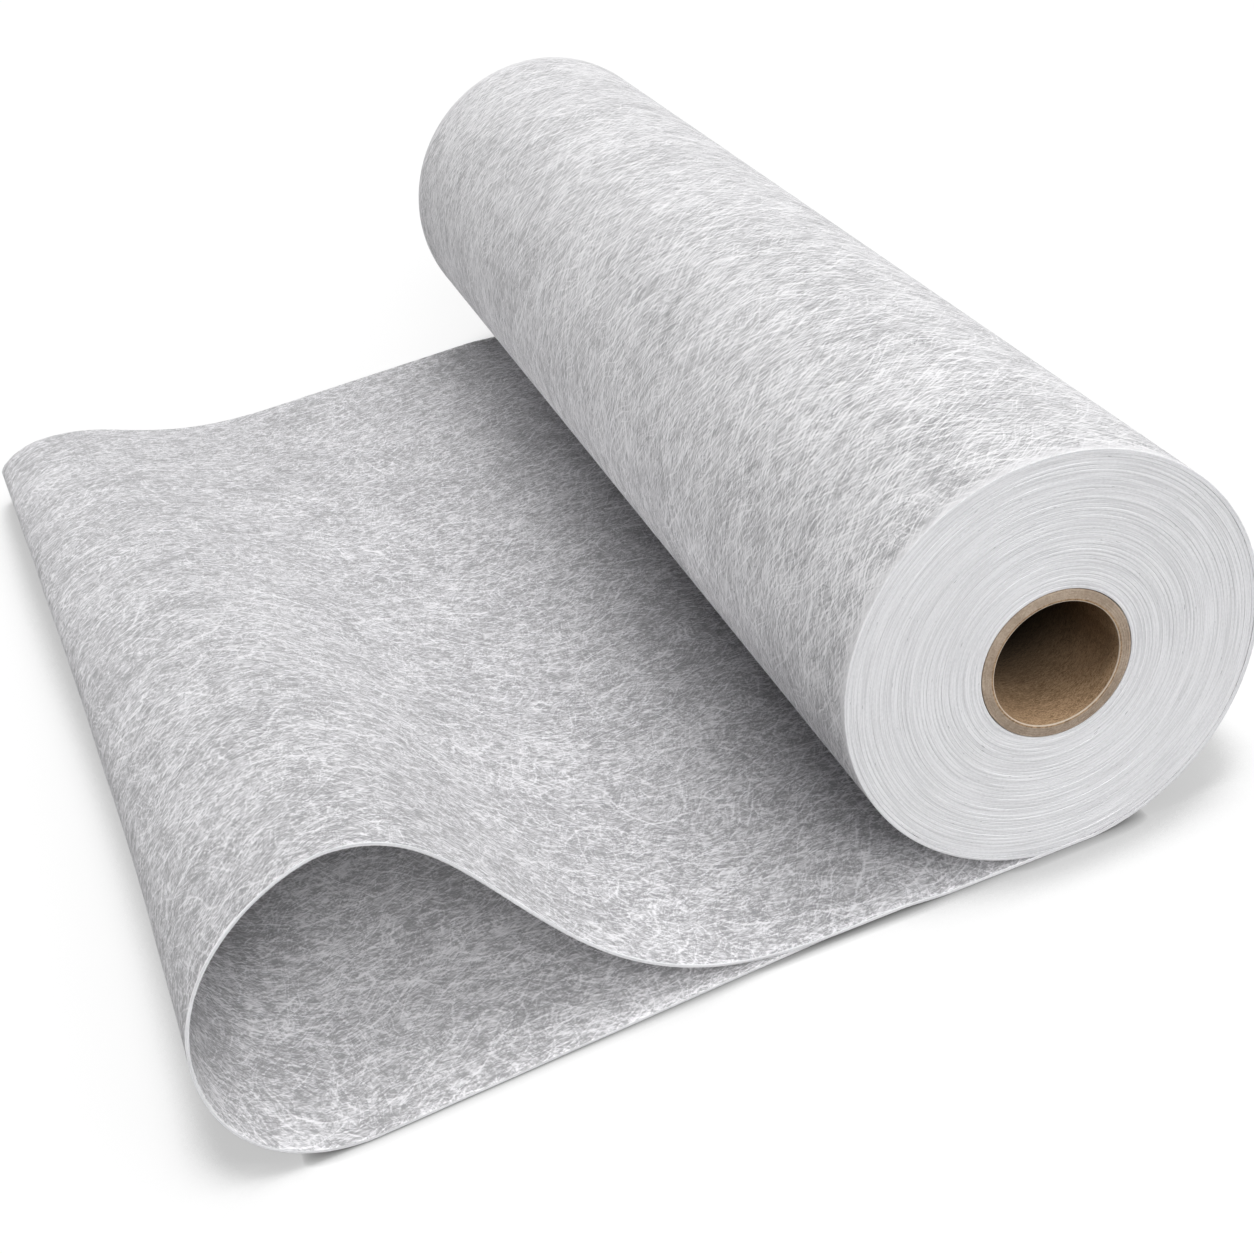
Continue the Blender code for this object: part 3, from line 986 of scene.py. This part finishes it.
    def ply(self, name: str, low: float, high: float, soft: Face | None,
            finishes: list) -> bpy.types.Object:
        """Make one ply of the free web.

        Args:
            name: the piece's name.
            low: its outer skin's depth about the web's middle.
            high: its inner skin's depth.
            soft: the face whose edges are rounded over, or None.
            finishes: the skins' and the edges' materials, and a third one for the skins once
                they have left the roll.

        Returns:
            The ply as a mesh object.
        """
        points, side = self.surface.points, self.surface.side
        count, columns = points.shape[:2]
        to_edge = np.minimum(self.surface.share, 1 - self.surface.share) * WEB.width
        round_off = self.edge_rounding * (1 - np.sqrt(np.clip(
            1 - (1 - np.clip(to_edge / self.edge_rounding, 0, 1)) ** 2, 0, 1)))
        low_skin = np.full((count, columns), low)
        high_skin = np.full((count, columns), high)
        if soft is Face.OUTER:
            low_skin += round_off
        elif soft is Face.INNER:
            on_floor = (self.surface.u > 0)[:, None]
            high_skin += self.surface.lining[:, None] - round_off * on_floor
        rings, edge_uvs = [], []
        for skin in (self.seated(low_skin), self.seated(high_skin)):
            at = points.copy()
            at[..., 0] += skin * side[..., 0]
            at[..., 2] += skin * side[..., 1]
            rings.append(at)
            edge_uvs.append(np.stack([self.surface.u[:, None] + 0 * skin, skin], axis=-1))
        ring = np.concatenate([rings[0], rings[1][:, ::-1]], axis=1)
        uv_skin = np.stack(np.meshgrid(self.surface.u, self.surface.v, indexing="ij"), axis=-1)
        uvs = np.concatenate([uv_skin, uv_skin[:, ::-1]], axis=1)
        uv_edge = np.concatenate([edge_uvs[0], edge_uvs[1][:, ::-1]], axis=1)
        rim = self.rim_strips if soft is Face.INNER else 0
        kinds = ([0] * (columns - 1) + [1] * (1 + rim) +
                 [0] * (columns - 1 - 2 * rim) + [1] * (1 + rim))
        kind = np.tile(kinds, count - 1)
        if len(finishes) > 2:
            off_roll = np.repeat(self.surface.u[:-1] > 0, len(kinds))
            kind = np.where(off_roll & (kind == 0), 2, kind)
        return mesh_piece(name, ring, uvs, uv_edge, kind, finishes)

    def dress(self, finishes: Finishes) -> None:
        """Make the three plies and hang them on their body.

        Args:
            finishes: the part's materials.
        """
        self.lay_out()
        half, film = WEB.thickness / 2, WEB.film / 2
        core = film + WEB.visible_bond
        plies = [
            ("outer_fleece", "outer_fleece_cloth", -half, -core, Face.OUTER,
             [finishes.outer, finishes.ply_edge, finishes.underside]),
            ("waterproof_film", "film_sheet", -film, film, None,
             [finishes.film, finishes.ply_edge]),
            ("inner_fleece", "inner_fleece_cloth", core, half, Face.INNER,
             [finishes.inner, finishes.ply_edge]),
        ]
        for node, name, low, high, soft, looks in plies:
            piece = self.ply(name, low, high, soft, looks)
            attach(piece, "free_web")
            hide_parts(node)


@dataclass
class WoundWeb:
    """The web on the core: one strip of 36 turns, wound tight, each turn a step up the last."""

    turns: int = 36
    steps: int = 108
    start_radius: float = 0.04665
    end_radius: float = 0.1257
    climb_steps: int = 18
    corner: float = 0.00028
    ease_middle: float = 0.5
    ease_swing: float = 1.2
    ease_least: float = 0.1
    telescope: float = 0.00022
    telescope_wave: float = 0.09
    telescope_fine: float = 0.022
    telescope_fine_share: float = 0.4
    skin_apart: float = 0.01
    outer_gap: float = 0.00004
    least_thickness: float = 0.0001
    edge_setback: float = 0.0002

    def lay_out(self) -> tuple[np.ndarray, np.ndarray, np.ndarray, np.ndarray]:
        """Work out the winding.

        Returns:
            The radius of the web's middle at each station, half its thickness there, and the
            station's angle and length along the web.
        """
        k = np.arange(self.turns * self.steps + self.climb_steps + 1)
        pitch = (self.end_radius - self.start_radius) / self.turns
        share = np.clip((k % self.steps) / self.climb_steps, 0.0, 1.0)
        layer = k // self.steps + share * share * (3 - 2 * share)
        top = np.minimum(self.start_radius + pitch * layer, self.end_radius)
        bottom = self.start_radius + pitch * np.maximum(layer - 1, 0.0)
        kept = top - bottom > self.least_thickness
        k, top, bottom = k[kept], top[kept], bottom[kept]
        angle = -2 * math.pi * k / self.steps
        middle = (top + bottom) / 2
        steps = np.diff(-angle) * (middle[1:] + middle[:-1]) / 2
        length = np.concatenate([[0.0], np.cumsum(steps)])
        return middle, (top - bottom - self.outer_gap) / 2, angle, length

    def section(self) -> tuple[np.ndarray, np.ndarray]:
        """The web's cross-section at one edge.

        Returns:
            Depths about the web's middle as shares of its half thickness, and how far each
            point lies back from the edge.
        """
        depth = np.array([-1.0, -0.94, -0.76, -0.26, 0.0, 0.26, 0.76, 0.94, 1.0])
        back = np.array([1.0, 0.40, 0.0, 0.06, 0.16, 0.06, 0.0, 0.40, 1.0]) * self.corner
        return depth, back

    def dress(self, finishes: Finishes) -> None:
        """Make the strip and hang it on the roll.

        Args:
            finishes: the part's materials.
        """
        middle, half, angle, length = self.lay_out()
        depth, back = self.section()
        along = np.stack([length / self.telescope_wave, 0 * length], axis=-1)
        fine = np.stack([length / self.telescope_fine, 0 * length], axis=-1)
        rings, skins, edges = [], [], []
        for way, seed in ((-1, 2.2), (1, 9.6)):
            sway = smooth_noise(along, seed)
            sway += self.telescope_fine_share * smooth_noise(fine, seed + 5)
            ease = np.clip(self.ease_middle + self.ease_swing * smooth_noise(fine / 3, seed + 11),
                           self.ease_least, 1.0)
            order = slice(None) if way < 0 else slice(None, None, -1)
            x, z = rolled(middle[:, None] - depth[None, order] * half[:, None], angle[:, None])
            set_back = back[None, order] * ease[:, None] + (self.telescope * sway)[:, None]
            set_back += self.edge_setback
            y = way * (WEB.width / 2 - set_back)
            rings.append(np.stack([x, y, z], axis=-1))
            skins.append(np.stack(np.broadcast_arrays(length[:, None], y), axis=-1))
            through = depth[None, order] * half[:, None] + way * self.skin_apart
            edges.append(np.stack(np.broadcast_arrays(length[:, None], through), axis=-1))
        ring, skin, edge = (np.concatenate(part, axis=1) for part in (rings, skins, edges))
        kind = np.tile(([1] * (len(depth) - 1) + [0]) * 2, len(length) - 1)
        piece = mesh_piece("wound_strip", ring, skin, edge, kind,
                           [finishes.outer, finishes.cut_edge])
        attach(piece, "wound_roll")
        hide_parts("wound_web")
        LOG.info("wound_strip: %d faces, %.2f m long", len(piece.data.polygons), length[-1])


@dataclass
class PaperCore:
    """The paper core: five helical plies and the tape that holds the web's start."""

    names: tuple[str, ...] = ("core_liner", "core_ply_2", "core_ply_3", "core_ply_4", "core_wrap")
    bore_radius: float = 0.0390
    step: float = 0.00144
    visible_gap: float = 0.00002
    pitch: float = 0.181
    seam: float = 0.00018
    stagger_share: float = 0.38
    steps_per_turn: int = 96
    spare_turns: int = 3
    rim: float = 0.00035
    rim_tolerance: float = 0.00001
    longest_rim_edge: float = 0.01
    sharp_from: float = math.radians(40)

    def strip(self, layer: int) -> bpy.types.Object:
        """Model one ply: a strip section turned into a helix and cut square at both ends.

        Args:
            layer: its number from the bore outwards.

        Returns:
            The ply as a mesh object at the origin.
        """
        inner = self.bore_radius + layer * self.step
        outer = inner + self.step - self.visible_gap
        turns = math.ceil(WEB.width / self.pitch) + self.spare_turns
        first = -WEB.width / 2 - self.pitch * (1 + (layer * self.stagger_share) % 1)
        deselect_all()
        bpy.ops.mesh.primitive_plane_add(size=1.0, calc_uvs=False,
                                         location=(0.0, 0.0, WEB.axis_height))
        piece = bpy.context.object
        piece.name = f"{self.names[layer]}_paper"
        bpy.ops.object.mode_set(mode="EDIT")
        bpy.ops.mesh.select_all(action="SELECT")
        middle = ((inner + outer) / 2, first + self.pitch / 2, 0.0)
        bpy.ops.transform.resize(value=(outer - inner, self.pitch - self.seam, 1.0))
        bpy.ops.transform.translate(value=middle)
        bpy.ops.object.mode_set(mode="OBJECT")
        screw = piece.modifiers.new("helix", "SCREW")
        screw.axis = "Y"
        screw.angle = 2 * math.pi * turns
        screw.screw_offset = self.pitch * turns
        screw.steps = screw.render_steps = self.steps_per_turn * turns
        screw.use_merge_vertices = False
        bpy.ops.object.modifier_apply(modifier="helix")
        for end in (-1, 1):
            self.cut_end(end)
        self.ease_rims(piece, inner if layer == 0 else outer)
        place_in_mesh(piece)
        turn_outwards(piece)
        return piece

    @staticmethod
    def cut_end(end: int) -> None:
        """Cut the active strip square at one end of the core and close the cut.

        Args:
            end: -1 for the near end, 1 for the far one.
        """
        bpy.ops.object.mode_set(mode="EDIT")
        bpy.ops.mesh.select_all(action="SELECT")
        bpy.ops.mesh.bisect(plane_co=(0.0, end * WEB.width / 2, 0.0), plane_no=(0.0, end, 0.0),
                            use_fill=True, clear_outer=True, threshold=0.000001)
        bpy.ops.object.mode_set(mode="OBJECT")

    def ease_rims(self, piece: bpy.types.Object, radius: float) -> None:
        """Round the cut's rim at one radius, as the saw and handling leave it.

        Args:
            piece: the cut strip.
            radius: the rim's distance from the axis.
        """
        mesh = piece.data
        for part in (mesh.vertices, mesh.polygons):
            part.foreach_set("select", np.zeros(len(part), bool))
        ends = WEB.width / 2 - self.rim_tolerance
        for edge in mesh.edges:
            a, b = (mesh.vertices[n].co for n in edge.vertices)
            on_rim = all(abs(p.y) > ends and abs(math.hypot(p.x, p.z) - radius) <
                         2 * self.rim_tolerance for p in (a, b))
            edge.select = on_rim and (a - b).length < self.longest_rim_edge
        bpy.ops.object.mode_set(mode="EDIT")
        bpy.ops.mesh.select_mode(type="EDGE")
        bpy.ops.mesh.bevel(offset=self.rim, segments=2)
        bpy.ops.object.mode_set(mode="OBJECT")

    def dress(self, finishes: Finishes) -> None:
        """Make the plies, finish them and the tape, and hang the plies on the roll.

        Args:
            finishes: the part's materials.
        """
        for layer, node in enumerate(self.names):
            piece = self.strip(layer)
            piece.data.materials.clear()
            piece.data.materials.append(finishes.liner if layer == 0 else finishes.board)
            piece.data.shade_smooth()
            piece.data.set_sharp_from_angle(angle=self.sharp_from)
            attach(piece, "wound_roll")
            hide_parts(node)
            LOG.info("%s: %d faces", piece.name, len(piece.data.polygons))
        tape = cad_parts["start_tape"]
        tape.data.materials.clear()
        tape.data.materials.append(finishes.tape)


def deselect_all() -> None:
    """Leave nothing selected, so that an operator acts on its own piece only."""
    for thing in bpy.context.selected_objects:
        thing.select_set(False)


def place_in_mesh(piece: bpy.types.Object) -> None:
    """Move an object's place into its mesh, so that the object sits at the origin."""
    piece.data.transform(piece.matrix_world)
    piece.matrix_world = Matrix.Identity(4)


@dataclass(frozen=True)
class SoftLamp:
    """A broad, even light from one direction, with its angles in degrees."""

    name: str
    azimuth: float
    elevation: float
    spread: float
    strength: float


@dataclass
class Studio:
    """A plain pale floor, soft light and a camera at the photograph's viewing angle."""

    camera_place: tuple[float, float, float] = (-0.40722, -1.35157, 0.77061)
    camera_azimuth: float = math.radians(-11.63)
    camera_elevation: float = math.radians(31.11)
    camera_roll: float = math.radians(-13.71)
    focal_pixels: float = 2010.845
    sensor: float = 36.0
    floor_size: float = 24.0
    floor_drop: float = 0.0001
    floor_glow: float = 0.87
    floor_colour: float = 0.13
    contact_reach: float = 0.008
    contact_shade: float = 0.95
    contact_power: float = 0.6
    shade_reach: float = 0.070
    shade_gain: float = 2.0
    shade: float = 1.8
    shade_cap: float = 0.45
    shade_power: float = 4.0
    world_strength: float = 0.02
    lamps: tuple[SoftLamp, ...] = (
        SoftLamp("front", 270, 35, 30, 0.70),
        SoftLamp("top_right", 0, 70, 42, 0.37),
        SoftLamp("left_low", 180, 9, 16, 0.34),
        SoftLamp("front_right_high", 315, 50, 42, 0.25),
        SoftLamp("right_low", 0, 22, 42, 0.18),
        SoftLamp("front_right", 315, 35, 30, 0.15),
    )

    @staticmethod
    def seen(sh: Shader) -> Socket:
        """Give 1 for the rays that show the backdrop: camera, glossy and transmission rays.

        Args:
            sh: the nodes that ask.

        Returns:
            The mask.
        """
        path = sh.node("ShaderNodeLightPath")
        clear = sh.math("MAXIMUM", path.outputs["Is Glossy Ray"],
                        path.outputs["Is Transmission Ray"])
        return sh.math("MAXIMUM", path.outputs["Is Camera Ray"], clear)

    def camera(self) -> None:
        """Add the camera, fitted to the photograph."""
        az, el = self.camera_azimuth, self.camera_elevation
        back = Vector((math.sin(az) * math.cos(el), -math.cos(az) * math.cos(el), math.sin(el)))
        level = Vector((0.0, 0.0, 1.0)).cross(back).normalized()
        upright = back.cross(level)
        c, s = math.cos(self.camera_roll), math.sin(self.camera_roll)
        right, up = c * level + s * upright, c * upright - s * level
        turn = Matrix((right, up, back)).transposed().to_4x4()
        data = bpy.data.cameras.new("photo_camera")
        data.sensor_width = self.sensor
        data.lens = self.focal_pixels / PHOTO_PIXELS * self.sensor
        camera = bpy.data.objects.new("photo_camera", data)
        camera.matrix_world = Matrix.Translation(self.camera_place) @ turn
        bpy.context.scene.collection.objects.link(camera)
        bpy.context.scene.camera = camera

    def light(self) -> None:
        """Add the lamps and the world."""
        for lamp in self.lamps:
            data = bpy.data.lights.new(lamp.name, "SUN")
            data.energy = math.pi * lamp.strength
            data.angle = math.radians(lamp.spread)
            thing = bpy.data.objects.new(lamp.name, data)
            az, el = math.radians(lamp.azimuth), math.radians(lamp.elevation)
            toward = Vector((math.cos(az) * math.cos(el), math.sin(az) * math.cos(el),
                             math.sin(el)))
            thing.rotation_euler = toward.to_track_quat("Z", "Y").to_euler()
            bpy.context.scene.collection.objects.link(thing)
        world = bpy.data.worlds.new("studio")
        world.use_nodes = True
        sh = Shader(world.node_tree)
        strength = sh.math("ADD", sh.math("MULTIPLY", self.seen(sh), 1.0 - self.world_strength),
                           self.world_strength)
        sh.fill(sh.tree.nodes["Background"], {"Color": (1.0, 1.0, 1.0, 1.0), "Strength": strength})
        bpy.context.scene.world = world

    def floor(self) -> None:
        """Add the floor: white to the camera, with painted shadow near the object."""
        deselect_all()
        bpy.ops.mesh.primitive_plane_add(size=self.floor_size, location=(0, 0, -self.floor_drop))
        floor = bpy.context.object
        floor.name = "studio_floor"
        sh = Coat("studio_floor")
        # Painted shadow: ambient occlusion darkens the glow in a thin line where the object
        # touches and a soft shade where it overhangs.
        contact = sh.node("ShaderNodeAmbientOcclusion", {"Distance": self.contact_reach})
        touching = sh.math("POWER", sh.math("SUBTRACT", 1.0, contact.outputs["AO"], clamp=True),
                           self.contact_power)
        line = sh.math("SUBTRACT", 1.0, sh.math("MULTIPLY", touching, self.contact_shade))
        around = sh.node("ShaderNodeAmbientOcclusion", {"Distance": self.shade_reach})
        covered = sh.math("MULTIPLY", sh.math("SUBTRACT", 1.0, around.outputs["AO"]),
                          self.shade_gain, clamp=True)
        shade = sh.math("MINIMUM", self.shade_cap, sh.math(
            "MULTIPLY", sh.math("POWER", covered, self.shade_power), self.shade))
        after_painted_shade = sh.math("MULTIPLY", line, sh.math("SUBTRACT", 1.0, shade, clamp=True))
        glow = sh.math("MULTIPLY", self.seen(sh), sh.math("MULTIPLY", after_painted_shade, self.floor_glow))
        floor.data.materials.append(sh.finish({
            "Base Color": (*[self.floor_colour] * 3, 1.0), "Roughness": 1.0,
            "Specular IOR Level": 0.0, "Emission Color": (1.0, 1.0, 1.0, 1.0),
            "Emission Strength": glow}))

    def set_up(self) -> None:
        """Build the whole studio."""
        bpy.context.scene.view_settings.view_transform = "Standard"
        self.camera()
        self.light()
        self.floor()


def main() -> None:
    """Build the part's pieces in order and put them in the studio."""
    logging.basicConfig(level=logging.INFO, format="%(name)s: %(message)s")
    Studio().set_up()
    finishes = Finishes()
    PaperCore().dress(finishes)
    WoundWeb().dress(finishes)
    FreeWeb().dress(finishes)
    bpy.context.view_layer.update()


if __name__ == "__main__":
    main()
